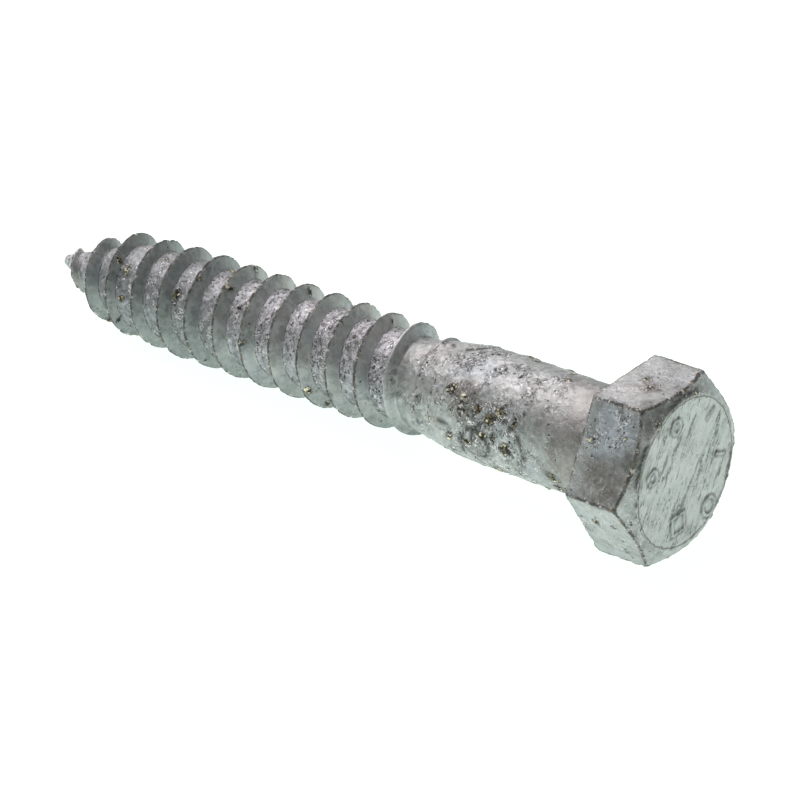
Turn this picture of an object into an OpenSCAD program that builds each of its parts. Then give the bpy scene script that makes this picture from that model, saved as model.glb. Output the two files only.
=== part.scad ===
// Hex lag screw (hex bolt with a wood thread), 5/8 in by 4 in, hot-dip galvanised.
// The real object is one forging, so it is one solid in one node.
// Frame: the bearing face under the head is the plane x = 0, its centre is the origin,
// the head runs along +X, the shank and thread run along -X, and two hex flats face +Z and -Z.
// Inside the modules the screw is built along its own axis, from the bearing face (0)
// down to the point (overall_length), with the head below zero.

/* [Head] */
// Width across the flats, 15/16 in less a forging's usual shortfall
head_af = 23.5; // [20:0.1:32]
// Height of the head above its bearing face
head_height = 9.6; // [7:0.1:14]
// Diameter of the flat left on top by the chamfer
head_top_d = 21.4; // [18:0.1:23]
// Slope of the top chamfer, from the top face
chamfer_angle = 31; // [15:1:40]
// Fillet between the bearing face and the shank
fillet_r = 1.2; // [0.4:0.1:2.5]

/* [Shank] */
// Diameter of the plain shank, 5/8 in
shank_d = 15.7; // [13:0.1:18]
// Plain length from the bearing face to the shoulder
shank_length = 24.3; // [12:0.1:40]
// Length over which the shoulder tapers down to the root
shoulder_length = 11.5; // [6:0.1:16]

/* [Thread] */
// Length from the bearing face to the end of the point, 4 in nominal
overall_length = 99.8; // [70:0.1:140]
// Diameter over the crests, 5/8 in
thread_d = 15.7; // [13:0.1:18]
// Distance from crest to crest, 5 threads to the inch
pitch = 5.08; // [4:0.02:6.5]
// Depth from crest to root
thread_depth = 1.93; // [1.2:0.01:2.6]
// Width of the flat on the crest
crest_flat = 0.5; // [0.2:0.05:1]
// Slope of each side of the ridge, from square to the axis
flank_angle = 30; // [15:1:35]
// Distance from the bearing face to a crest above the middle of the +Z flat
crest_position = 31.25; // [28:0.05:36]
// Length over which the ridge rises from nothing to its full height beside the shoulder
run_out_length = 12.6; // [6:0.1:20]

/* [Point] */
// Length of the cone at the end of the root
point_length = 14.5; // [8:0.1:20]
// Diameter of the blunt nib at the very end
nib_d = 1.45; // [0.8:0.05:3]
// Length of nib left clear of the ridge
nib_length = 1.4; // [0.4:0.1:3]
// Diameter over the crests where they leave the nib
point_crest_d = 2.5; // [2:0.1:5]
// Length of the steep part of the crests' taper, from the very end
steep_length = 11; // [7:0.1:18]
// Diameter over the crests at the end of the steep part
steep_crest_d = 14.2; // [11:0.1:16]
// Distance from the very end to the first crest of full diameter
crest_taper_length = 24; // [16:0.5:40]

/* [Hidden] */

head_corner_r = head_af / 2 / cos(30);
shank_r = shank_d / 2;
crest_r = thread_d / 2;
root_r = crest_r - thread_depth;
nib_r = nib_d / 2;
flank_width = thread_depth * tan(flank_angle);

// How deep pieces of the screw reach into each other before they are joined.
overlap = 2;

// The thread's mesh: columns round the axis, and four rows of points to each pitch.
columns = 72;
rows_per_pitch = 4;
row_gap = 0.12;
row_offsets = [
    crest_flat / 2,
    crest_flat / 2 + flank_width,
    pitch - crest_flat / 2 - flank_width,
    pitch - crest_flat / 2
];
row_is_crest = [true, false, false, true];

// The mesh starts inside the shank, and ends at the very end of the point.
mesh_start = shank_length - overlap;
mesh_end = overall_length;
turns_before = ceil((crest_position - mesh_start) / pitch) + 1;
turns_after = ceil((mesh_end - crest_position) / pitch) + 1;
last_row = (turns_before + turns_after) * rows_per_pitch;

// Radius of the root and of the line the crests follow, by distance from the very end.
root_line = [[0, nib_r], [point_length, root_r]];
crest_line = [
    [0, point_crest_d / 2],
    [steep_length, steep_crest_d / 2],
    [crest_taper_length, crest_r]
];

// Share of its full height that the ridge has, near the nib and near the shank.
nib_share = [[nib_length, 0], [2 * nib_length, 1]];
run_out_share = [[shank_length, 0], [shank_length + run_out_length, 1]];

function root_at(u) = lookup(overall_length - u, root_line);

function crest_at(u) =
    let (
        v = overall_length - u,
        height = max(0, lookup(v, crest_line) - root_at(u))
    )
    root_at(u) + height * lookup(v, nib_share) * lookup(u, run_out_share);

// Distance along the axis of a point of the mesh. Each column is further along by its share of a
// turn, which makes the thread right-handed.
function row_u(i, m) =
    crest_position + pitch * (floor(m / rows_per_pitch) - turns_before + i / columns)
    + row_offsets[m % rows_per_pitch];

function row_r(m, u) = row_is_crest[m % rows_per_pitch] ? crest_at(u) : root_at(u);

function on_axis(i, r, u) = [r * cos(360 * i / columns), r * sin(360 * i / columns), u];

// First and last rows of a column that lie between the two end rings.
function first_in(i) = min([for (m = [0:last_row]) if (row_u(i, m) > mesh_start + row_gap) m]);
function last_in(i) = max([for (m = [0:last_row]) if (row_u(i, m) < mesh_end - row_gap) m]);

// The point numbers: all rows of all columns, then the two end rings, then their two centres.
// One column past the last is the first column again, one turn further on.
function row_point(i, m) = i < columns ? i * (last_row + 1) + m : m + rows_per_pitch;
ring_points = columns * (last_row + 1);
function start_point(i) = ring_points + i % columns;
function end_point(i) = ring_points + columns + i % columns;
start_centre = ring_points + 2 * columns;
end_centre = start_centre + 1;

function first_of(i) = i < columns ? first_in(i) : first_in(0) - rows_per_pitch;
function last_of(i) = i < columns ? last_in(i) : last_in(0) - rows_per_pitch;

thread_points = concat(
    [for (i = [0:columns - 1], m = [0:last_row]) on_axis(i, row_r(m, row_u(i, m)), row_u(i, m))],
    [for (i = [0:columns - 1]) on_axis(i, root_at(mesh_start), mesh_start)],
    [for (i = [0:columns - 1]) on_axis(i, nib_r, mesh_end)],
    [[0, 0, mesh_start], [0, 0, mesh_end]]
);

// Between two columns: the shared rows, the few rows that only one of them has at each end,
// and the two end rings.
function strip(i) =
    let (a0 = first_of(i), b0 = first_of(i + 1), a1 = last_of(i), b1 = last_of(i + 1))
    concat(
        [for (m = [a0:1:b1 - 1]) [row_point(i, m), row_point(i, m + 1), row_point(i + 1, m)]],
        [for (m = [a0:1:b1 - 1]) [row_point(i, m + 1), row_point(i + 1, m + 1), row_point(i + 1, m)]],
        [for (m = [b0:1:a0 - 1]) [start_point(i), row_point(i + 1, m + 1), row_point(i + 1, m)]],
        [for (m = [b1:1:a1 - 1]) [row_point(i, m), row_point(i, m + 1), end_point(i + 1)]],
        [
            [start_point(i), row_point(i, a0), row_point(i + 1, a0)],
            [start_point(i), row_point(i + 1, b0), start_point(i + 1)],
            [row_point(i, b1), end_point(i + 1), row_point(i + 1, b1)],
            [row_point(i, a1), end_point(i), end_point(i + 1)],
            [start_centre, start_point(i), start_point(i + 1)],
            [end_centre, end_point(i + 1), end_point(i)]
        ]
    );

thread_faces = [for (i = [0:columns - 1]) each strip(i)];

// The hexagon with its chamfered top.
module head() {
    // The cone cuts the corners, and leaves the flat on top whole.
    cone_r = head_top_d / 2 + head_height / tan(chamfer_angle);
    intersection() {
        translate([0, 0, -head_height])
            rotate([0, 0, 30])
                cylinder(r = head_corner_r, h = head_height, $fn = 6);
        translate([0, 0, -head_height])
            cylinder(r1 = head_top_d / 2, r2 = cone_r, h = head_height, $fn = 96);
    }
}

// Half of the shank's section: the fillet, the plain length and the shoulder, which runs on
// inside the root of the thread.
module shank_section() {
    hidden_r = root_r - thread_depth / 2;
    shoulder_end = shank_length + shoulder_length * (shank_r - hidden_r) / (shank_r - root_r);
    polygon([
        [0, -overlap],
        [shank_r, -overlap],
        [shank_r, shank_length],
        [hidden_r, shoulder_end],
        [0, shoulder_end]
    ]);
    difference() {
        translate([shank_r - fillet_r, -overlap])
            square([2 * fillet_r, overlap + fillet_r]);
        translate([shank_r + fillet_r, fillet_r])
            circle(r = fillet_r, $fn = 64);
    }
}

module shank() {
    rotate_extrude($fn = 96)
        shank_section();
}

// Root, ridge and point in one closed mesh.
module thread() {
    polyhedron(points = thread_points, faces = thread_faces, convexity = 10);
}

module lag_screw() {
    color([0.63, 0.65, 0.64])
        rotate([0, -90, 0]) {
            head();
            shank();
            thread();
        }
}

lag_screw();
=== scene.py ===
"""Hot-dip galvanised hex lag screw, lying on a pale floor.

Lengths in this file are in millimetres, until a mesh or an object is made. The screw is built
along its own axis: u runs from the bearing face under the head (0) towards the point, so u is
-X of the frame, and the head lies at u < 0. Turns round the axis run from +Z towards +Y.
"""

import math

import bpy
import numpy as np
from mathutils import Matrix, Vector


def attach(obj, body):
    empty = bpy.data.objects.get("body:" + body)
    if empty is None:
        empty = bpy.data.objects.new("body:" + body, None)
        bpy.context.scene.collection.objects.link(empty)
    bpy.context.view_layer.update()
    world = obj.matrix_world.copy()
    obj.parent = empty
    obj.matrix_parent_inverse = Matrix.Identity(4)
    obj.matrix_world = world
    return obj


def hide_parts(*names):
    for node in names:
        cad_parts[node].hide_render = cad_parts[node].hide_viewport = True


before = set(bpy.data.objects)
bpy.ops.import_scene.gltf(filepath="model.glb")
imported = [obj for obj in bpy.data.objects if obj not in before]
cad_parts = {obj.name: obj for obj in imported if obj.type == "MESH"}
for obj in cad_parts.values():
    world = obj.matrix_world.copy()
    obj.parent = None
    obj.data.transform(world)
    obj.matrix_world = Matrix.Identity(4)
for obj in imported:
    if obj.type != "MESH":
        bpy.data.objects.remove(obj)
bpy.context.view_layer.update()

MM = 0.001

# ---------------------------------------------------------------- sizes, as in the CAD model

HEAD_AF = 23.5
HEAD_HEIGHT = 9.6
HEAD_TOP_R = 10.7
CHAMFER = math.radians(31)
FILLET_R = 1.2

SHANK_R = 7.85
SHANK_LENGTH = 24.3
SHOULDER_LENGTH = 11.5

LENGTH = 99.8
PITCH = 5.08
THREAD_DEPTH = 1.93
# Narrower than in the CAD model, because the crest's edges are rounded here.
CREST_FLAT = 0.3
FLANK = math.radians(30)
CREST_POSITION = 31.25
RUN_OUT_LENGTH = 12.6
CREST_R = 7.85
ROOT_R = CREST_R - THREAD_DEPTH

POINT_LENGTH = 14.5
NIB_R = 0.72
NIB_LENGTH = 1.4

# Lines of (distance, value) corners. These two give the radius over the crests and at the root,
# by distance from the very end.
CREST_LINE = ((0, 1.25), (11, 7.1), (24, CREST_R))
ROOT_LINE = ((0, NIB_R), (POINT_LENGTH, ROOT_R))
# These two go by distance from the bearing face: the shoulder's radius, and the share of its full
# height that the ridge has.
SHOULDER_LINE = ((SHANK_LENGTH, SHANK_R), (SHANK_LENGTH + SHOULDER_LENGTH, ROOT_R))
RUN_OUT_LINE = ((SHANK_LENGTH, 0), (SHANK_LENGTH + RUN_OUT_LENGTH, 1))


def read(line, distance):
    """The value of a line at a distance."""
    return np.interp(distance, *zip(*line))


# ---------------------------------------------------------------- noise

# Large odd numbers that stir a cell's place, the seed and the result together.
CELL_STIR = (73856093, 19349663, 83492791)
SEED_STIR = 2654435761
LAST_STIRS = ((15, 2246822519), (13, 3266489917))
WORD = 0xFFFFFFFF


def lattice(cells, seed):
    """A number from -1 to 1 for each whole-number cell."""
    h = (cells[:, 0] * CELL_STIR[0]) ^ (cells[:, 1] * CELL_STIR[1])
    h = (h ^ (cells[:, 2] * CELL_STIR[2]) ^ (seed * SEED_STIR)) & WORD
    for shift, stir in LAST_STIRS:
        h = ((h ^ (h >> shift)) * stir) & WORD
    h = h ^ (h >> 16)
    return h / (WORD / 2) - 1


def noise(where, size, seed):
    """Smooth noise from -1 to 1 with features about size millimetres across."""
    p = where / size + 100
    cell = np.floor(p).astype(np.int64)
    f = p - cell
    f = f * f * f * (f * (f * 6 - 15) + 10)
    total = np.zeros(len(where))
    for dx in (0, 1):
        for dy in (0, 1):
            for dz in (0, 1):
                weight = (
                    np.where(dx, f[:, 0], 1 - f[:, 0])
                    * np.where(dy, f[:, 1], 1 - f[:, 1])
                    * np.where(dz, f[:, 2], 1 - f[:, 2])
                )
                total += weight * lattice(cell + np.array((dx, dy, dz)), seed)
    return total


def layered(where, size, seed, octaves=2):
    """Noise of several sizes, each half the one before in size and in height."""
    total = np.zeros(len(where))
    share, most = 1.0, 0.0
    for k in range(octaves):
        total += share * noise(where, size / 2 ** k, seed + 17 * k)
        most += share
        share *= 0.5
    return total / most


def step(x, low, high):
    """0 below low, 1 above high, and smooth between."""
    t = np.clip((x - low) / (high - low), 0, 1)
    return t * t * (3 - 2 * t)


def bell(x, width):
    """1 where x is 0, falling to nothing at about twice the width on both sides."""
    return np.exp(-(x / width) ** 2)


# ---------------------------------------------------------------- the screw's section

TABLE_STEP = 0.05
SHOULDER_ROUNDING = 0.9
table_u = np.arange(0, LENGTH + 0.01, TABLE_STEP)


def smoothed(values, width):
    """A table with its corners rounded over about width millimetres."""
    reach = int(3 * width / TABLE_STEP)
    kernel = np.exp(-0.5 * (np.arange(-reach, reach + 1) * TABLE_STEP / width) ** 2)
    return np.convolve(np.pad(values, reach, mode="edge"), kernel / kernel.sum(), mode="valid")


body_table = np.where(
    table_u > LENGTH - POINT_LENGTH,
    read(ROOT_LINE, LENGTH - table_u),
    smoothed(read(SHOULDER_LINE, table_u), SHOULDER_ROUNDING),
)


def body_r(u):
    """Radius of the screw without its ridge."""
    return np.interp(u, table_u, body_table)


def ridge_r(u, off):
    """Radius of the ridge's section at off millimetres from the middle of its crest."""
    v = LENGTH - u
    root_r = read(ROOT_LINE, v)
    share = step(v, 0.7 * NIB_LENGTH, 2.2 * NIB_LENGTH) * read(RUN_OUT_LINE, u)
    height = np.maximum(read(CREST_LINE, v) - root_r, 0) * share
    return root_r + height - np.maximum(np.abs(off) - CREST_FLAT / 2, 0) / math.tan(FLANK)


def thread_r(u, off):
    """The larger of the two, with a small fillet where they meet."""
    body, ridge, fillet = body_r(u), ridge_r(u, off), 0.1
    return 0.5 * (body + ridge + np.sqrt((body - ridge) ** 2 + fillet * fillet))


# ---------------------------------------------------------------- points and faces

COLUMNS = 216
column_turn = 2 * math.pi * np.arange(COLUMNS) / COLUMNS

points = []
faces = []


def around(u, r, turn):
    """Points of the frame, by distance from the bearing face, radius and turn in radians."""
    u, r, turn = np.broadcast_arrays(u, r, turn)
    return np.stack((-u, r * np.sin(turn), r * np.cos(turn)), axis=-1)


def add(xyz):
    """Adds points and returns their numbers."""
    start = sum(len(p) for p in points)
    points.append(np.asarray(xyz, dtype=float).reshape(-1, 3))
    return start + np.arange(len(points[-1]))


def ring(u, r, turn=column_turn):
    """A closed ring of points round the axis."""
    return add(around(u, r, turn))


def bridge(a, b):
    """Faces between two rings: a is nearer to the head."""
    faces.extend(np.stack((a, b, np.roll(b, -1), np.roll(a, -1)), axis=1).tolist())


def next_ring_up(previous, u, r, turn=column_turn):
    """A ring joined to the one before it, which is nearer to the point."""
    current = ring(u, r, turn)
    bridge(current, previous)
    return current


def fan(centre, *runs):
    """Triangles from one point to runs of points, end to end."""
    run = np.concatenate(runs)
    faces.extend([[centre, run[m], run[m + 1]] for m in range(len(run) - 1)])


# ---------------------------------------------------------------- the thread

# Rows of points run along the helix, so the ridge's edges lie along rows. The offsets are the
# rows' distances from the middle of the crest, over one pitch: they crowd at the crest's edges.
flank_width = THREAD_DEPTH * math.tan(FLANK)
crest_edge = CREST_FLAT / 2
half = np.concatenate((
    [0, crest_edge * 0.85],
    np.linspace(crest_edge * 1.15, crest_edge + flank_width, 9),
    np.linspace(crest_edge + flank_width, PITCH / 2, 6)[1:],
))
offsets = np.concatenate((half, PITCH - half[-2:0:-1]))
per_pitch = len(offsets)

# The thread's mesh runs from a ring on the plain shank to a ring on the nib. No row comes nearer
# to either than the gap.
THREAD_START = 19.0
THREAD_END = LENGTH - 0.35
GAP = 0.06
turns_before = math.ceil((CREST_POSITION - THREAD_START) / PITCH) + 1
turns_after = math.ceil((THREAD_END - CREST_POSITION) / PITCH) + 1
rows = np.arange((turns_before + turns_after) * per_pitch)
row_off = offsets[rows % per_pitch]
row_u = CREST_POSITION + PITCH * (rows // per_pitch - turns_before) + row_off
row_off = np.where(row_off > PITCH / 2, row_off - PITCH, row_off)

first_ring = ring(THREAD_START, body_r(THREAD_START))
column_rows, column_points = [], []
for i in range(COLUMNS):
    u = row_u + PITCH * i / COLUMNS
    inside = (u > THREAD_START + GAP) & (u < THREAD_END - GAP)
    u, off = u[inside], row_off[inside]
    column_rows.append(rows[inside])
    column_points.append(add(around(u, thread_r(u, off), column_turn[i])))
last_ring = ring(THREAD_END, body_r(THREAD_END))


def stitch(i):
    """Faces between a column and the next one, and from both to the rings at the two ends."""
    j = (i + 1) % COLUMNS
    rows_a, a = column_rows[i], column_points[i]
    rows_b, b = column_rows[j], column_points[j]
    if j == 0:
        # The first column again, one turn on.
        rows_b = rows_b - per_pitch
    low, high = max(rows_a[0], rows_b[0]), min(rows_a[-1], rows_b[-1])
    shared_a = a[low - rows_a[0]:high - rows_a[0] + 1]
    shared_b = b[low - rows_b[0]:high - rows_b[0] + 1]
    strip = (shared_a[:-1], shared_a[1:], shared_b[1:], shared_b[:-1])
    faces.extend(np.stack(strip, axis=1).tolist())
    before_a, before_b = a[:low - rows_a[0] + 1], b[:low - rows_b[0] + 1]
    fan(first_ring[i], before_a, before_b[::-1], first_ring[j:j + 1])
    after_a, after_b = a[high - rows_a[0]:], b[high - rows_b[0]:]
    fan(last_ring[j], after_b[::-1], after_a, last_ring[i:i + 1])


for i in range(COLUMNS):
    stitch(i)

# The rounded end of the nib.
NIB_RINGS = 5
previous = last_ring
for k in range(1, NIB_RINGS):
    slant = math.pi / 2 * k / NIB_RINGS
    u = THREAD_END + (LENGTH - THREAD_END) * math.sin(slant)
    current = ring(u, body_r(THREAD_END) * math.cos(slant))
    bridge(previous, current)
    previous = current
tip = add([[-LENGTH, 0, 0]])[0]
faces.extend([[previous[i], tip, previous[(i + 1) % COLUMNS]] for i in range(COLUMNS)])

# ---------------------------------------------------------------- the hexagon


def from_corner(turn):
    """Degrees from the nearest corner of the hexagon."""
    return np.abs(np.degrees(turn) % 60 - 30)


def hexagon_r(turn):
    """Radius of the hexagon."""
    return HEAD_AF / 2 / np.cos(np.radians(30 - from_corner(turn)))


# The head's columns crowd towards the six corners, so that the corners can be rounded. A side
# is given in degrees from a corner to the middle of a flat.
SECTOR = COLUMNS // 6
near_corner = np.array([0, 0.55, 1.15, 1.9, 2.8, 4.0, 5.4])
to_middle = np.linspace(near_corner[-1], 30, SECTOR // 2 - len(near_corner) + 2)
side = np.concatenate((near_corner, to_middle[1:]))
sector = np.concatenate((side, 60 - side[-2:0:-1]))
head_turn = np.radians(np.concatenate([sector + 60 * k + 30 for k in range(6)]))
# Column 0 of the shank is above the middle of the +Z flat, half a sector before a corner.
head_turn = np.roll(head_turn, SECTOR // 2)
head_turn[:SECTOR // 2] -= 2 * math.pi
head_r = hexagon_r(head_turn)

# ---------------------------------------------------------------- the shank

# Up from the thread's first ring, and through the fillet.
SHANK_ROW = 0.28
FILLET_RINGS = 6
previous = first_ring
for u in np.arange(THREAD_START - SHANK_ROW, FILLET_R + 0.1, -SHANK_ROW):
    previous = next_ring_up(previous, u, SHANK_R)
for k in range(FILLET_RINGS + 1):
    slant = math.pi / 2 * k / FILLET_RINGS
    u, r = FILLET_R * (1 - math.sin(slant)), SHANK_R + FILLET_R * (1 - math.cos(slant))
    previous = next_ring_up(previous, u, r)

# ---------------------------------------------------------------- the head

SEAT_RINGS, SIDE_RINGS, CHAMFER_RINGS = 14, 29, 10
TOP_ROW = 0.16


def shares(count):
    """Equal steps up to 1, which is the last."""
    return np.linspace(0, 1, count + 1)[1:]


# Out over the bearing face.
fillet_edge = SHANK_R + FILLET_R
for t in shares(SEAT_RINGS):
    turn = column_turn + (head_turn - column_turn) * t
    previous = next_ring_up(previous, 0.0, fillet_edge + (head_r - fillet_edge) * t, turn)

# Up the six sides, over the chamfer and across the top.
side_height = HEAD_HEIGHT - (head_r - HEAD_TOP_R) * math.tan(CHAMFER)
for t in shares(SIDE_RINGS):
    previous = next_ring_up(previous, -side_height * t, head_r, head_turn)
for t in shares(CHAMFER_RINGS):
    u = -side_height - (HEAD_HEIGHT - side_height) * t
    previous = next_ring_up(previous, u, head_r + (HEAD_TOP_R - head_r) * t, head_turn)
for r in np.arange(HEAD_TOP_R - TOP_ROW, 0.2, -TOP_ROW):
    turn = column_turn + (head_turn - column_turn) * (r / HEAD_TOP_R)
    previous = next_ring_up(previous, -HEAD_HEIGHT, r, turn)
centre = add([[HEAD_HEIGHT, 0, 0]])[0]
faces.extend([[previous[i], previous[(i + 1) % COLUMNS], centre] for i in range(COLUMNS)])

# ---------------------------------------------------------------- the mesh as arrays

# The faces were listed seen from inside, so each is turned round.
p = np.concatenate(points)
quads = np.array([f[::-1] for f in faces if len(f) == 4])
tris = np.array([f[::-1] for f in faces if len(f) == 3])
pairs = np.concatenate(
    [quads[:, (k, (k + 1) % 4)] for k in range(4)]
    + [tris[:, (k, (k + 1) % 3)] for k in range(3)]
)
pairs = np.unique(np.sort(pairs, axis=1), axis=0)
COUNT = len(p)
degree = np.bincount(pairs.ravel(), minlength=COUNT)


def mean_of_neighbours(values):
    """Each point's average over the points that it shares an edge with."""
    out = np.empty_like(values)
    for k in range(values.shape[1]):
        out[:, k] = (
            np.bincount(pairs[:, 0], values[pairs[:, 1], k], COUNT)
            + np.bincount(pairs[:, 1], values[pairs[:, 0], k], COUNT)
        ) / degree
    return out


def quad_normals():
    """The quads' normals, as long as twice their areas."""
    return np.cross(p[quads[:, 2]] - p[quads[:, 0]], p[quads[:, 3]] - p[quads[:, 1]])


def point_normals():
    """Area-weighted normals of the points."""
    total = np.zeros_like(p)
    q = quad_normals()
    t = np.cross(p[tris[:, 1]] - p[tris[:, 0]], p[tris[:, 2]] - p[tris[:, 0]])
    for k in range(3):
        for corner in range(4):
            total[:, k] += np.bincount(quads[:, corner], q[:, k], COUNT)
        for corner in range(3):
            total[:, k] += np.bincount(tris[:, corner], t[:, k], COUNT)
    return total / np.maximum(np.linalg.norm(total, axis=1, keepdims=True), 1e-12)


# ---------------------------------------------------------------- where things are on the screw

# As built, before the edges are worn: distances from the bearing face and from the very end.
u_of = -p[:, 0]
v_of = LENGTH - u_of
radius = np.hypot(p[:, 1], p[:, 2])
turn_of = np.arctan2(p[:, 1], p[:, 2])
in_head = u_of < 0.01

# Zinc rounds every edge, and fills the corner where the thread leaves its root. The nib is so
# thin that it is rounded less.
rounding = np.where(u_of > LENGTH - 3, 0.1, 0.5)
for _ in range(2):
    p += rounding[:, None] * (mean_of_neighbours(p) - p)
normal = point_normals()

# How far each point of the thread stands clear of the root: 0 at the root, 1 on the crest.
in_thread = step(u_of, 30, 34)
root_here, crest_here = read(ROOT_LINE, v_of), read(CREST_LINE, v_of)
rise = np.clip((radius - root_here) / np.maximum(crest_here - root_here, 0.3), 0, 1.1)
crest = in_thread * step(rise, 0.93, 1.0)
root = in_thread * (1 - step(rise, 0.03, 0.1))

# Distance to the head's edges: the six corners, the chamfer's two edges and the bearing face's.
# A point far from an edge counts as FAR, and a corner is about CORNER_R from the axis.
FAR = 9.0
CORNER_R = 13.5
hex_here = hexagon_r(turn_of)
edge_u = -(HEAD_HEIGHT - (hex_here - HEAD_TOP_R) * math.tan(CHAMFER))
on_side = in_head & (radius > hex_here - 0.35) & (u_of > edge_u - 0.3)
to_corner = np.where(on_side, np.radians(from_corner(turn_of)) * CORNER_R, FAR)
to_side = radius - hex_here
to_chamfer = np.where(in_head & (radius > HEAD_TOP_R), np.hypot(u_of - edge_u, to_side), FAR)
to_rim = np.where(in_head & (u_of < -HEAD_HEIGHT + 1.5), np.abs(radius - HEAD_TOP_R), FAR)
to_seat = np.where(in_head & (u_of > -1.5), np.hypot(u_of, to_side), FAR)
to_edge = np.minimum(np.minimum(to_corner, to_chamfer), np.minimum(to_rim + 0.3, to_seat))
edge_near = 1 - step(to_edge, 0.05, 0.7)
on_top = in_head & (u_of < -HEAD_HEIGHT + 0.3) & (radius < HEAD_TOP_R + 0.1)

shank_part = step(u_of, 0.5, 2.5) * (1 - step(u_of, 33, 36))
far_from_head = step(u_of, 4, 13)
busy_shank = shank_part * far_from_head
calm_shank = shank_part * (1 - far_from_head)
near_point = step(u_of, 62, 76)
low_down = -p[:, 2]

# ---------------------------------------------------------------- patches of colour

ragged = layered(p, 0.9, 131)

# Soft patches: each a place and a radius.
BLUE_PATCHES = [(4.2, -8.6, 8.4, 4.8), (4.0, 8.0, -9.0, 5.0), (4.0, 3.0, -11.7, 4.0)]
BROWN_PATCHES = [
    (5.5, -11.7, 3.0, 4.6), (8.9, -5.2, 10.3, 3.4), (9.4, -10.0, 5.2, 3.6), (8.9, 11.0, -3.0, 3.5),
    (4.0, 10.5, 6.0, 4.0), (-3.5, -7.2, 1.5, 4.5), (4.5, -1.0, 11.7, 2.0), (-22.0, -6.5, 4.4, 3.5),
]
DULL_PATCHES = [(8.9, -4.6, 10.6, 3.6), (9.4, -9.8, 5.4, 3.2)]
GRIME_PATCHES = [(-16.5, -7.6, -1.5, 9.5), (-14.0, 7.0, 3.5, 8.0), (-19.0, 3.0, -7.0, 8.0)]


def patches(places):
    """1 inside the patches, 0 outside, with ragged borders."""
    total = np.zeros(COUNT)
    for *place, r in places:
        distance = np.linalg.norm(p - np.array(place), axis=1) + ragged
        total = np.maximum(total, 1 - step(distance / r, 0.5, 1.0))
    return total


blue = patches(BLUE_PATCHES)
brown = patches(BROWN_PATCHES)

# ---------------------------------------------------------------- the zinc's relief

busy_zone = np.clip(
    0.2 + shank_part * (0.1 + 0.55 * far_from_head) + 0.8 * root + 0.4 * crest
    + np.where(in_head, 0.15 + 0.7 * blue, 0),
    0, 1,
)
waves, swells, grain = layered(p, 6.5, 11), layered(p, 2.6, 23), layered(p, 0.85, 37)
ridged = 1 - 2 * np.abs(layered(p, 1.2, 51))
relief = 0.045 * waves + 0.07 * swells * busy_zone
relief += busy_zone * (0.05 * grain + 0.035 * ridged)

# Nicks and lumps along the edges of the head and the crests.
nick = step(layered(p, 0.8, 71), 0.1, 0.6)
lump = step(layered(p, 0.9, 83), 0.1, 0.6)
relief += edge_near * (0.08 * lump - 0.13 * nick)
relief += crest * (0.06 * lump - 0.2 * nick)

# Every random number comes from these dice, in this order.
dice = np.random.default_rng(5)


def any_direction():
    """A random direction."""
    axis = dice.normal(size=3)
    return axis / np.linalg.norm(axis)


def away(place, squeeze=0.0):
    """Each point's distance from a place, with a ragged edge. Squeezed, the mark is longer one way."""
    d = p - place
    return np.sqrt((d * d).sum(axis=1) + squeeze * (d @ any_direction()) ** 2) + 0.3 * ragged


def scatter(count, radii, heights, chance):
    """Adds round lumps or pits, centred on points chosen with the given chance each."""
    for chosen in dice.choice(COUNT, count, p=chance / chance.sum()):
        size = dice.uniform(*radii)
        height = dice.uniform(*heights)
        stretch = dice.uniform(0, 3)
        axis = any_direction()
        d = p - p[chosen]
        near_by = np.flatnonzero(np.abs(d).max(axis=1) < 2.2 * size)
        d = d[near_by]
        far = ((d * d).sum(axis=1) + stretch * (d @ axis) ** 2) / size ** 2
        same_side = (normal[near_by] @ normal[chosen]) > 0.3
        relief[near_by] += np.where(same_side, height * np.exp(-far * far), 0)


quad_size = np.linalg.norm(quad_normals(), axis=1)
area = np.bincount(quads.ravel(), np.repeat(quad_size, 4), COUNT)
everywhere = area * (0.1 + busy_shank + 0.7 * root + np.where(in_head, 0.3, 0))
# Lumps and pits on the busy parts, then broad dents and swellings on the shank.
scatter(260, (0.25, 0.6), (0.05, 0.13), everywhere)
scatter(380, (0.2, 0.45), (-0.15, -0.05), everywhere)
scatter(14, (0.9, 1.7), (-0.12, -0.06), area * busy_shank)
scatter(10, (0.8, 1.5), (0.05, 0.1), area * busy_shank)

# ---------------------------------------------------------------- flecks

# Flecks of dross stuck in the zinc. On the shank: distance from the bearing face, turn in
# degrees and radius of the fleck.
SHANK_FLECKS = [
    (24.4, -52, 0.8), (27.1, -52, 0.5), (30.5, -26, 0.45), (27.7, -23, 0.6), (29.8, -75, 1.0),
    (23.9, -101, 0.75), (18.0, -85, 0.7), (16.2, -83, 0.6), (20.8, -99, 0.6), (22.1, -68, 0.55),
    (15.8, -57, 0.75), (13.2, -65, 0.8), (17.2, -69, 1.0), (22.1, -57, 0.8), (6.6, -109, 0.9),
    (9.4, 1, 0.5), (30.9, -34, 0.7), (14.3, -93, 0.8), (19.5, -62, 0.5), (12.0, -52, 0.4),
]
# On the thread: distance, turn, radius from the axis and radius of the fleck.
THREAD_FLECKS = [
    (85.9, -33, 6.6, 0.75), (65.9, -27, 7.4, 0.8), (71.0, -29, 7.7, 0.6), (74.5, -52, 6.3, 0.8),
    (84.3, -44, 6.0, 0.8), (79.9, -5, 7.0, 0.6), (84.0, -81, 6.8, 0.6), (86.6, -78, 6.6, 0.5),
    (61.2, -80, 7.0, 0.9), (84.4, -115, 6.9, 0.5), (71.2, -54, 7.7, 0.4), (56.6, -33, 7.0, 0.6),
    (49.6, -114, 7.4, 0.7), (39.4, 17, 7.7, 0.5), (56.0, -58, 7.0, 0.35), (46.0, -21, 7.7, 0.4),
]
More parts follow.
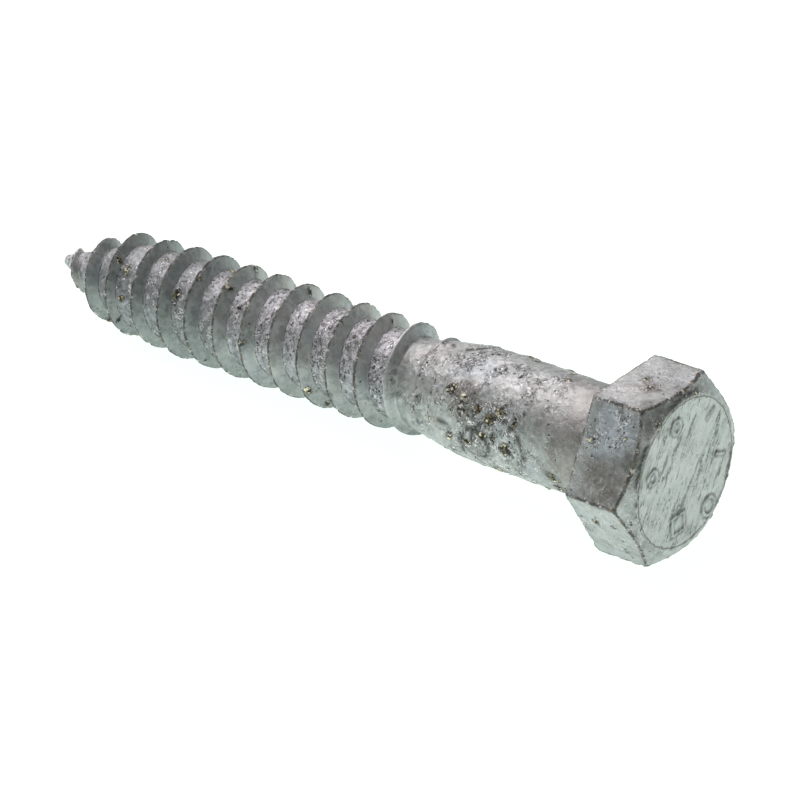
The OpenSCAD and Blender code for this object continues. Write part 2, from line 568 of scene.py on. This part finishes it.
# On the head: a place and the radius of the fleck.
HEAD_FLECKS = [
    (9.3, 2.9, 10.6, 0.5), (9.2, 0.9, 11.1, 0.4), (9.6, -5.3, 9.2, 0.5), (9.4, -9.7, 4.0, 0.55),
    (3.2, -11.1, -4.2, 0.45), (6.3, -11.2, -4.1, 0.35), (5.9, -8.3, -9.1, 0.4),
    (9.4, -10.9, -4.7, 0.45), (1.7, -9.6, 6.9, 0.5), (6.7, -8.8, 8.2, 0.5),
    (5.8, -12.6, 1.7, 0.35), (5.0, -1.2, 11.8, 0.5),
]


def on_shank(u, turn):
    """A place on the shank, by distance and turn in degrees."""
    return around(u, SHANK_R, math.radians(turn))


def all_flecks():
    """Places and radii of all flecks: those listed, and random ones on the sides facing away."""
    shank = SHANK_FLECKS + [
        (dice.uniform(5, 31), dice.uniform(15, 235), dice.uniform(0.35, 0.9)) for _ in range(44)
    ]
    thread = THREAD_FLECKS + [
        (dice.uniform(34, 92), dice.uniform(20, 230), 7.0, dice.uniform(0.35, 0.8))
        for _ in range(26)
    ]
    flecks = [(*on_shank(u, turn), size) for u, turn, size in shank] + HEAD_FLECKS
    for u, turn, r, size in thread:
        place = around(u, r, math.radians(turn))
        nearest = np.argmin(np.linalg.norm(p - place, axis=1))
        flecks.append((*p[nearest], size))
    for k in dice.choice(np.flatnonzero(in_head & ~on_top & (p[:, 1] > 0)), 16):
        flecks.append((*p[k], dice.uniform(0.35, 0.7)))
    return flecks


fleck = np.zeros(COUNT)
grime = 0.5 * patches(GRIME_PATCHES)
for *place, size in all_flecks():
    d = away(np.array(place), dice.uniform(0.5, 5)) / (1.15 * size)
    fleck = np.maximum(fleck, np.clip(1.25 - d, 0, 1))
    grime += 0.6 * bell(d, 2.2)
relief += step(fleck, 0.1, 0.5) * (0.05 + 0.12 * ridged)

# ---------------------------------------------------------------- blisters, runs and dark lines

# Blisters, each a raised ring round a dent: distance, turn and radius.
BLISTERS = [(19.3, -98, 1.7), (22.5, 95, 1.3), (12.0, 160, 1.6)]
# Runs of zinc, each with a dark curved edge on one side.
RUNS = [(15.5, -97, 4.3), (25.0, -110, 3.2), (9.0, 60, 3.6), (20.0, 190, 4.0), (27.0, 20, 3.0)]
scar_and_shade = np.zeros(COUNT)
for u, turn, size in BLISTERS:
    d = away(on_shank(u, turn)) - size
    relief += 0.15 * bell(d, 0.35) - 0.08 * (1 - step(d, -0.8, -0.2))
    scar_and_shade = np.maximum(scar_and_shade, bell(d - 0.45, 0.36))
broken = step(layered(p, 2.5, 151, 1), -0.1, 0.3)
for u, turn, size in RUNS:
    d = away(on_shank(u, turn)) - size
    relief += 0.05 * (1 - step(d, -0.5, 0.1))
    scar_and_shade = np.maximum(scar_and_shade, bell(d, 0.36) * broken)

# Dark lines in the chamfer's upper edge: radius from the axis, first and last turn, and width.
CHAMFER_DARK_LINES = [(11.15, -16, 18, 0.42), (10.9, -76, -44, 0.3)]
turned = np.degrees(turn_of)
for r, first, last, width in CHAMFER_DARK_LINES:
    along_arc = step(turned, first - 3, first + 3) * (1 - step(turned, last - 3, last + 3))
    across_arc = bell(radius + 0.6 * ragged - r, width)
    scar_and_shade = np.maximum(scar_and_shade, np.where(in_head & (u_of < -6), along_arc * across_arc, 0))

# ---------------------------------------------------------------- marks on the head

# Small raised marks on the head's top: rings (y, z, radius), bars (y, z to y, z) and a square.
RINGS = [(-1.7, 7.6, 0.95), (-7.1, 2.5, 0.95), (5.0, -7.4, 1.3)]
BARS = [(7.0, -0.4, 8.6, -1.0), (5.1, 5.9, 6.5, 6.7)]
SQUARE = [(-3.1, -5.6), (-0.5, -5.6), (-0.5, -8.2), (-3.1, -8.2)]
BARS += [(*SQUARE[k], *SQUARE[(k + 1) % 4]) for k in range(4)]


def distance_to_marks():
    """Each point's distance to the middle of the nearest mark's line."""
    yz = p[:, 1:]
    nearest = np.full(COUNT, FAR)
    for y, z, r in RINGS:
        nearest = np.minimum(nearest, np.abs(np.hypot(yz[:, 0] - y, yz[:, 1] - z) - r))
    for y0, z0, y1, z1 in BARS:
        start, run = np.array((y0, z0)), np.array((y1 - y0, z1 - z0))
        t = np.clip((yz - start) @ run / (run @ run), 0, 1)
        nearest = np.minimum(nearest, np.linalg.norm(yz - start - t[:, None] * run, axis=1))
    return nearest


to_mark = distance_to_marks() + 0.1 * ragged
relief += np.where(on_top, 0.15 * (1 - step(to_mark, 0.1, 0.4)), 0)
# A dark band beside each mark's line, painted shade of the raised marks.
scar_and_shade = np.maximum(scar_and_shade, np.where(on_top, bell(to_mark - 0.38, 0.2), 0))

# ---------------------------------------------------------------- the screw

xyz = p + normal * relief[:, None]
mesh = bpy.data.meshes.new("lag_screw_body")
mesh.from_pydata((xyz * MM).tolist(), [], quads.tolist() + tris.tolist())
mesh.update()
mesh.shade_smooth()

# What the material reads, from 0 to 1 at each point.
painted = {
    "edge": np.maximum(edge_near, crest),
    "dirt": (
        0.15 + 0.6 * busy_shank + 0.5 * root * (1 - 0.8 * near_point) + 0.45 * crest
        + 0.3 * edge_near + np.where(in_head, 0.05, 0) + 0.6 * blue
        + 0.35 * in_thread * step(low_down, 1, 6)
    ),
    "grime": grime,
    "root": root,
    "smooth_zone": in_thread * (1 - root) * (1 - crest) + 0.6 * calm_shank,
    "head_top": on_top,
    "rim": on_top | (in_head & (to_rim < 0.6)),
    "fleck": fleck,
    # Scars and dark lines, and the painted shade beside the head's marks.
    "scar_and_shade": scar_and_shade,
    "brown": brown + 0.75 * calm_shank,
    # Painted shade on the thread's lower side, and darker towards the point and in a few patches.
    "dull_and_lower_shade": (
        0.9 * step(u_of, 58, 76) * (1 - step(u_of, 88, 97))
        + 0.8 * in_thread * step(low_down, 0, 6) + 0.5 * root * step(low_down, 0.5, 5)
        + 0.75 * patches(DULL_PATCHES)
    ),
    "blue": blue,
}
for name, values in painted.items():
    layer = mesh.attributes.new(name, "FLOAT", "POINT")
    layer.data.foreach_set("value", np.clip(values, 0, 1).astype(np.float32))

screw = bpy.data.objects.new("lag_screw_body", mesh)
bpy.context.scene.collection.objects.link(screw)
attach(screw, "root")
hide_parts("lag_screw")


# ---------------------------------------------------------------- nodes

class Nodes:
    """Short ways to add nodes. An input is a number, a colour or another node's output."""

    def __init__(self, name):
        self.material = bpy.data.materials.new(name)
        self.material.use_nodes = True
        self.tree = self.material.node_tree
        self.shader = self.tree.nodes["Principled BSDF"]

    def add(self, kind, inputs=(), **settings):
        node = self.tree.nodes.new("ShaderNode" + kind)
        for key, value in settings.items():
            setattr(node, key, value)
        for key, value in dict(inputs).items():
            self.link(node.inputs[key], value)
        return node

    def link(self, socket, value):
        if isinstance(value, bpy.types.NodeSocket):
            self.tree.links.new(value, socket)
        else:
            socket.default_value = value

    def math(self, operation, a, *others):
        """The operation on two values, and on the result and each further value."""
        for b in others:
            a = self.add("Math", {0: a, 1: b}, operation=operation).outputs[0]
        return a

    def times(self, *values):
        return self.math("MULTIPLY", *values)

    def plus(self, *values):
        return self.math("ADD", *values)

    def less(self, a, b):
        return self.math("SUBTRACT", a, b)

    def most(self, *values):
        return self.math("MAXIMUM", *values)

    def vector(self, operation, a, b):
        return self.add("VectorMath", {0: a, 1: b}, operation=operation).outputs[0]

    def scaled(self, a, scale):
        return self.add("VectorMath", {0: a, "Scale": scale}, operation="SCALE").outputs[0]

    def noise(self, where, size, detail=3.0, rough=0.55, distortion=0.0, out="Fac"):
        """Noise from 0 to 1, with features about size millimetres across."""
        return self.add("TexNoise", {
            "Vector": where, "Scale": 1 / size, "Detail": detail, "Roughness": rough,
            "Distortion": distortion,
        }).outputs[out]

    def cells(self, where, size):
        """Cells about size millimetres across: distances from their middles, random colours."""
        node = self.add("TexVoronoi", {"Vector": where, "Scale": 1 / size, "Randomness": 1.0})
        random = self.add("SeparateColor", {"Color": node.outputs["Color"]}).outputs
        return node.outputs["Distance"], random

    def span(self, value, low, high, to_low=0.0, to_high=1.0):
        """The value's place between low and high, eased at both ends."""
        return self.add("MapRange", {
            "Value": value, "From Min": low, "From Max": high, "To Min": to_low, "To Max": to_high,
        }, interpolation_type="SMOOTHSTEP").outputs["Result"]

    def mix(self, share, a, b):
        """A colour between two, by the share of the second."""
        return self.add("Mix", {"Factor": share, 6: a, 7: b}, data_type="RGBA").outputs[2]

    def painted(self, name):
        return self.add("Attribute", attribute_name=name).outputs["Fac"]

    def line(self, value, middle, width):
        """1 where the value is at the middle, falling to 0 at width from it."""
        distance = self.add("Math", {0: self.less(value, middle)}, operation="ABSOLUTE").outputs[0]
        return self.less(1.0, self.span(distance, 0.0, width))


def colour(r, g, b):
    return (r, g, b, 1.0)


# ---------------------------------------------------------------- the zinc's material

z = Nodes("galvanised_steel")
place = z.scaled(z.add("TexCoord").outputs["Object"], 1 / MM)
bent = z.vector("ADD", place, z.scaled(z.noise(place, 1.1, 3.0, out="Color"), 0.9))
part = z.add("SeparateXYZ", {"Vector": place}).outputs

# Noise that several coats share.
cloud = z.noise(place, 3.6, 4.0, 0.6, 0.4)
mottle = z.noise(bent, 0.8, 5.0, 0.68)
small = z.noise(bent, 0.4, 4.0, 0.65)
fine = z.noise(place, 0.16, 3.0, 0.7)
tint = z.noise(place, 5.5, 3.0, 0.6)
mottle_shift = z.less(mottle, 0.5)

edge_mask = z.painted("edge")
gathered = z.span(z.noise(place, 4.2, 3.0, 0.6), 0.44, 0.58, 0.12, 1.0)
dirt_mask = z.most(z.times(z.painted("dirt"), gathered), z.painted("grime"))
root_mask = z.painted("root")
smooth_mask = z.painted("smooth_zone")
top_mask = z.painted("head_top")
fleck_mask = z.painted("fleck")
dull_and_shade_mask = z.painted("dull_and_lower_shade")
not_smooth = z.less(1.0, z.times(smooth_mask, 0.65))

# Each coat lays its colours over the base. It returns the new base, and the masks that the
# roughness or the relief reads later.


def cloudy_zinc():
    """Two greys, in patches of several sizes, with warm, bluish and brown areas, roots painted paler
    as a highlight, and darker, greener areas: painted shade on the thread's lower side, and more
    towards the point and in a few patches.
    """
    patch = z.plus(z.times(cloud, 0.5), z.times(mottle, 0.5))
    base = z.mix(
        z.span(patch, 0.36, 0.6), colour(0.345, 0.365, 0.355), colour(0.565, 0.585, 0.575))
    base = z.mix(z.span(tint, 0.52, 0.66, 0.0, 0.35), base, colour(0.45, 0.41, 0.38))
    base = z.mix(z.span(tint, 0.48, 0.34, 0.0, 0.35), base, colour(0.41, 0.46, 0.51))
    brown_share = z.times(z.painted("brown"), z.span(mottle, 0.3, 0.65, 0.85, 0.45))
    base = z.mix(brown_share, base, colour(0.24, 0.215, 0.19))
    blue_share = z.times(z.painted("blue"), z.span(mottle, 0.3, 0.65, 0.4, 0.8))
    base = z.mix(blue_share, base, colour(0.50, 0.555, 0.61))
    # Painted highlight: the roots are paler and lavender, as if lit by the lamp overhead, over their
    # own mottled zinc.
    root_zinc_and_highlight = z.mix(
        z.span(mottle, 0.36, 0.56), colour(0.36, 0.37, 0.39), colour(0.70, 0.695, 0.735))
    base = z.mix(z.times(root_mask, 0.75), base, root_zinc_and_highlight)
    # Painted shade: darker and greener on the thread's lower side; also towards the point and in a few
    # patches.
    dull_and_shade_share = z.times(dull_and_shade_mask, z.span(mottle, 0.3, 0.6, 0.8, 0.5))
    return z.mix(dull_and_shade_share, base, colour(0.19, 0.225, 0.218))


def stains(base):
    """Stains, dark mottling, and worn spots of zinc painted near white, a painted highlight."""
    stain = z.times(
        z.span(z.noise(bent, 2.6, 4.0, 0.62, 0.8), 0.54, 0.62),
        z.plus(0.15, z.times(dirt_mask, 0.65), z.times(smooth_mask, 0.2)),
    )
    base = z.mix(stain, base, colour(0.17, 0.19, 0.18))
    mottled = z.times(
        z.span(small, 0.52, 0.6), z.plus(0.04, z.times(dirt_mask, 0.55)), not_smooth)
    base = z.mix(mottled, base, colour(0.12, 0.125, 0.115))
    rubbed_and_highlight = z.times(
        z.span(z.noise(bent, 0.65, 4.0, 0.7, 0.6), 0.575, 0.61),
        z.plus(0.05, dirt_mask),
        not_smooth,
    )
    # Worn spots, painted near white and pinkish as a highlight.
    return z.mix(z.times(rubbed_and_highlight, 0.85), base, colour(0.95, 0.91, 0.93)), rubbed_and_highlight


def root_streaks(base):
    """Streaks left by the rolling of the thread: narrow along the axis, long round it. The dark ones
    are marks, the pale ones partly painted highlights.
    """
    rolled = z.noise(z.vector("MULTIPLY", bent, (2.0, 1.0, 1.0)), 1.5, 4.0, 0.66, 0.4)
    zone = z.times(root_mask, z.less(1.0, z.times(dull_and_shade_mask, 0.65)))
    darker = z.times(z.span(rolled, 0.54, 0.6), zone)
    lighter_and_highlight = z.times(z.span(rolled, 0.45, 0.4), zone)
    base = z.mix(z.times(darker, 0.6), base, colour(0.15, 0.16, 0.155))
    # Pale streaks, partly a painted highlight.
    base = z.mix(z.times(lighter_and_highlight, 0.5), base, colour(0.9, 0.88, 0.92))
    return base, z.less(lighter_and_highlight, darker)


def lines(base):
    """Swirls, short dark lines, partly the shaded side of scratches, with painted highlights beside
    them, the rims of blisters and runs, lines on the chamfer, and painted shade beside the head's
    marks and where the thread's ridge meets the root."""
    swirl = z.times(
        z.line(z.noise(bent, 1.7, 2.0, 0.5, 1.6), 0.5, 0.04),
        z.span(z.noise(place, 1.6, 3.0, 0.6), 0.47, 0.53),
        z.plus(0.12, dirt_mask),
        not_smooth,
    )
    scratches = z.noise(bent, 1.0, 2.0, 0.5, 1.2)
    zone = z.times(
        z.span(z.noise(place, 1.3, 3.0, 0.6), 0.5, 0.55),
        z.plus(0.08, dirt_mask, z.times(root_mask, 0.7)),
        not_smooth,
    )
    # Each of the scratches: a dark line, partly its shaded side, and a painted highlight beside it.
    scratch_and_shade = z.times(z.line(scratches, 0.5, 0.05), zone)
    painted_glint = z.times(z.line(scratches, 0.565, 0.045), zone)
    # Scars and dark lines, with the painted shade beside the head's raised marks.
    scar_and_shade_line = z.times(z.painted("scar_and_shade"), z.span(small, 0.2, 0.32))
    # Painted shade in the crease where the ridge meets the root.
    crease_shade = z.times(z.line(root_mask, 0.45, 0.4), z.span(mottle, 0.47, 0.52))
    dark_line = z.most(swirl, scratch_and_shade, scar_and_shade_line, crease_shade)
    base = z.mix(z.times(dark_line, 0.95), base, colour(0.07, 0.073, 0.066))
    base = z.mix(z.times(painted_glint, 1.35), base, colour(0.97, 0.94, 0.95))
    return base, dark_line, painted_glint


def spots(size, low, high, chance, warp):
    """Ragged spots, from low to high millimetres in radius, and their rims. Each cell of the given
    size has one with the given chance."""
    shift = z.scaled(z.noise(place, size / 1.7, 3.0, 0.7, out="Color"), warp)
    distance, random = z.cells(z.vector("ADD", place, shift), size)
    reach = z.plus(low / size, z.times(random["Green"], (high - low) / size))
    chosen = z.math("GREATER_THAN", random["Red"], z.less(1.0, chance))
    inside = z.times(chosen, z.math("LESS_THAN", distance, reach))
    outer = z.times(chosen, z.math("LESS_THAN", distance, z.times(reach, 1.4)))
    return inside, z.less(outer, inside)


def specks(base):
    """Black specks."""
    zone = z.span(z.noise(place, 4.5, 2.0), 0.35, 0.7, 0.15, 1.0)
    speck, _ = spots(0.55, 0.06, 0.2, z.times(dirt_mask, zone, not_smooth), 0.4)
    return z.mix(z.times(speck, 0.85), base, colour(0.045, 0.045, 0.04)), speck


def brass(glint):
    """The colour of dross: dark and brassy grains, and a few painted pale yellow as glints."""
    base = z.mix(z.span(tint, 0.46, 0.52), colour(0.245, 0.2, 0.11), colour(0.36, 0.36, 0.33))
    base = z.mix(z.span(glint, 0.42, 0.5), colour(0.035, 0.03, 0.022), base)
    # Painted glints on a few grains.
    return z.mix(z.span(glint, 0.77, 0.79), base, colour(0.97, 0.9, 0.66))


def flecks(base):
    """Flecks of dross with dark rims: small loose ones, and those that stand out of the mesh."""
    zone = z.span(z.noise(place, 6.0, 2.0), 0.42, 0.66, 0.05, 0.4)
    loose, loose_rim = spots(
        1.5, 0.12, 0.4, z.times(z.span(dirt_mask, 0.2, 1.1), zone, not_smooth), 0.9)
    ragged_mask = z.plus(fleck_mask, z.times(mottle_shift, 3.2))
    near_by = z.math("GREATER_THAN", fleck_mask, 0.02)
    big = z.times(z.span(ragged_mask, 0.42, 0.46), near_by)
    big_rim = z.less(z.times(z.span(ragged_mask, 0.12, 0.22), near_by), big)
    inside, rim = z.most(loose, big), z.most(loose_rim, big_rim)
    glint = z.cells(bent, 0.34)[1]["Red"]
    base = z.mix(z.times(rim, 0.55), base, colour(0.06, 0.06, 0.055))
    base = z.mix(z.times(inside, 0.95), base, brass(glint))
    return base, rim, z.times(glint, inside)


def edges(base):
    """Dark dirt and rust in the broken zinc of the edges, with worn spots between, painted pale cream
    as glints.
    """
    dirty = z.times(
        z.span(z.plus(edge_mask, z.times(mottle_shift, 2.4)), 0.62, 0.85),
        z.span(z.noise(place, 1.5, 4.0, 0.7), 0.4, 0.52, 0.45, 1.0),
    )
    rust_share = z.span(z.noise(place, 1.1, 3.0, 0.6), 0.51, 0.6)
    rust = z.mix(rust_share, colour(0.055, 0.055, 0.05), colour(0.18, 0.14, 0.09))
    base = z.mix(z.times(dirty, 0.85), base, rust)
    # Worn spots on the edges, painted pale as glints.
    rubbed_and_glint = z.times(
        z.span(edge_mask, 0.1, 0.5), z.span(z.noise(bent, 0.8, 3.0, 0.6), 0.58, 0.64))
    painted_glint = z.mix(z.span(tint, 0.46, 0.54), colour(0.83, 0.77, 0.66), colour(0.82, 0.81, 0.79))
    return z.mix(z.times(rubbed_and_glint, 0.8), base, painted_glint), dirty


STREAK_TURN = math.radians(57)


def top_streaks(base):
    """Straight streaks, smudges and dashes across the head's top, all one way."""
    cosine, sine = math.cos(STREAK_TURN), math.sin(STREAK_TURN)
    along = z.plus(z.times(part["Y"], cosine), z.times(part["Z"], sine))
    across = z.less(z.times(part["Z"], cosine), z.times(part["Y"], sine))
    streaked = z.add("CombineXYZ", {"X": z.times(along, 0.16), "Y": across}).outputs[0]
    dashed = z.add("CombineXYZ", {"X": z.times(along, 0.24), "Y": across, "Z": 3.0}).outputs[0]
    streak = z.times(top_mask, z.span(z.noise(streaked, 0.9, 5.0, 0.7), 0.36, 0.58, 0.0, 0.7))
    smudge = z.times(
        z.span(z.noise(dashed, 1.7, 4.0, 0.65), 0.55, 0.605),
        z.span(small, 0.4, 0.56, 0.35, 1.0),
        top_mask,
    )
    dash = z.times(z.span(z.noise(dashed, 0.5, 3.0, 0.6), 0.59, 0.66), top_mask)
    base = z.mix(streak, base, colour(0.58, 0.605, 0.58))
    base = z.mix(z.times(smudge, 0.85), base, colour(0.13, 0.145, 0.135))
    return z.mix(z.times(dash, 0.65), base, colour(0.1, 0.105, 0.1)), dash


def top_rim(base):
    """A dark line round the rim of the head's top."""
    square_on = z.add("CombineXYZ", {"Y": part["Y"], "Z": part["Z"]}).outputs[0]
    from_axis = z.add("VectorMath", {0: square_on}, operation="LENGTH").outputs["Value"]
    ragged_distance = z.plus(from_axis, z.times(mottle_shift, 0.7))
    rim_line = z.times(z.painted("rim"), z.line(ragged_distance, 10.4, 0.2))
    rim_colour = z.mix(z.span(small, 0.45, 0.6), colour(0.06, 0.05, 0.045), colour(0.17, 0.1, 0.09))
    return z.mix(z.times(rim_line, 0.75), base, rim_colour)


base = cloudy_zinc()
base, rubbed_and_highlight = stains(base)
base, rolled_height = root_streaks(base)
base, dark_line, scratch_highlight = lines(base)
base, speck = specks(base)
base, fleck_rim, fleck_height = flecks(base)
base, edge_dirt = edges(base)
base, dash = top_streaks(base)
base = top_rim(base)

# Dark marks, painted shade lines among them, are rougher and less of a metal, and worn zinc and
# painted highlights are smoother.
dark = z.most(edge_dirt, z.times(speck, 0.8), fleck_rim, dark_line)
rough = z.plus(z.span(mottle, 0.3, 0.7, 0.37, 0.52), z.times(dark, 0.2), z.times(root_mask, 0.06))
rough = z.less(rough, z.times(z.most(rubbed_and_highlight, scratch_highlight), 0.16))
z.link(z.shader.inputs["Base Color"], base)
z.link(z.shader.inputs["Metallic"], z.span(dark, 0.0, 1.0, 0.82, 0.3))
z.link(z.shader.inputs["Roughness"], rough)

# What is too fine for the mesh, as heights in millimetres.
facets, _ = z.cells(bent, 0.7)
raised = z.plus(
    z.times(mottle, z.plus(0.07, z.times(dirt_mask, 0.08))),
    z.times(fine, 0.018),
    z.times(small, z.plus(0.015, z.times(dirt_mask, 0.12), z.times(root_mask, 0.05))),
    z.times(facets, z.plus(z.times(dirt_mask, 0.06), z.times(root_mask, 0.1)), not_smooth),
    z.times(fleck_height, 0.12),
    z.times(scratch_highlight, 0.03),
    z.times(rolled_height, 0.03),
)
sunk = z.plus(
    z.times(speck, 0.04), z.times(dark_line, 0.06), z.times(dash, 0.03), z.times(edge_dirt, 0.05))
bump = z.add("Bump", {"Height": z.less(raised, sunk), "Distance": MM, "Strength": 1.0})
z.link(z.shader.inputs["Normal"], bump.outputs["Normal"])
mesh.materials.append(z.material)

# ---------------------------------------------------------------- floor

# The screw lies on the lower edge of its head and on the first crests of full height. The floor
# is level with its lowest point, and glows a little, so that it comes out white.
FLOOR_REACH = 3.0
rest_u = LENGTH - CREST_LINE[-1][0]
floor_up = Vector(((HEAD_AF / 2 - CREST_R) / rest_u, 0, 1)).normalized()
lowest = float((xyz @ np.array(floor_up)).min()) * MM

floor_mesh = bpy.data.meshes.new("floor")
corners = [(x * FLOOR_REACH, y * FLOOR_REACH, 0) for x, y in ((-1, -1), (1, -1), (1, 1), (-1, 1))]
floor_mesh.from_pydata(corners, [], [(0, 1, 2, 3)])
floor = bpy.data.objects.new("floor", floor_mesh)
floor.rotation_euler = floor_up.to_track_quat("Z", "Y").to_euler()
floor.location = floor_up * lowest
bpy.context.scene.collection.objects.link(floor)

white = Nodes("floor")
white.shader.inputs["Base Color"].default_value = colour(0.28, 0.3, 0.29)
white.shader.inputs["Roughness"].default_value = 0.9
white.shader.inputs["Specular IOR Level"].default_value = 0.0
white.shader.inputs["Emission Color"].default_value = colour(0.90, 1.0, 0.95)
white.shader.inputs["Emission Strength"].default_value = 1.02
floor_mesh.materials.append(white.material)

# ---------------------------------------------------------------- light

# One soft square lamp overhead, behind the screw's middle, at a place in metres.
LAMP_PLACE = Vector((-0.32, 0.12, 0.5))
middle = Vector((-LENGTH / 2 * MM, 0, 0))
light = bpy.data.lights.new("top_light", "AREA")
light.shape = "SQUARE"
light.size = 0.62
light.energy = 3.15
light.color = (1.0, 0.935, 0.96)
lamp = bpy.data.objects.new("top_light", light)
lamp.location = LAMP_PLACE
lamp.rotation_euler = (middle - LAMP_PLACE).to_track_quat("-Z", "Y").to_euler()
bpy.context.scene.collection.objects.link(lamp)

world = bpy.data.worlds.new("world")
world.use_nodes = True
world.node_tree.nodes["Background"].inputs["Color"].default_value = colour(1, 1, 1)
world.node_tree.nodes["Background"].inputs["Strength"].default_value = 0.26
bpy.context.scene.world = world

# ---------------------------------------------------------------- camera

# The camera looks along the screw from beyond the head, a little above it. Its distance is from
# the bearing face's centre, and it stands a little to the side of the line through it.
AZIMUTH, ELEVATION, ROLL = math.radians(40.231), math.radians(28.817), math.radians(-2.95)
DISTANCE, RIGHT_BY, UP_BY = 667.73, -29.927, 6.917
LENS, SENSOR = 227.2, 36

back = Vector((
    math.sin(AZIMUTH) * math.cos(ELEVATION),
    -math.cos(AZIMUTH) * math.cos(ELEVATION),
    math.sin(ELEVATION),
))
level_right = (-back).cross(Vector((0, 0, 1))).normalized()
level_up = level_right.cross(-back)
right = math.cos(ROLL) * level_right + math.sin(ROLL) * level_up
up = math.cos(ROLL) * level_up - math.sin(ROLL) * level_right
camera_data = bpy.data.cameras.new("camera")
camera_data.lens = LENS
camera_data.sensor_width = SENSOR
camera_data.clip_end = 20
camera = bpy.data.objects.new("camera", camera_data)
camera_turn = Matrix((right, up, back)).transposed().to_4x4()
camera_place = (back * DISTANCE + right * RIGHT_BY + up * UP_BY) * MM
camera.matrix_world = Matrix.Translation(camera_place) @ camera_turn
bpy.context.scene.collection.objects.link(camera)
bpy.context.scene.camera = camera

bpy.context.scene.view_settings.view_transform = "Standard"
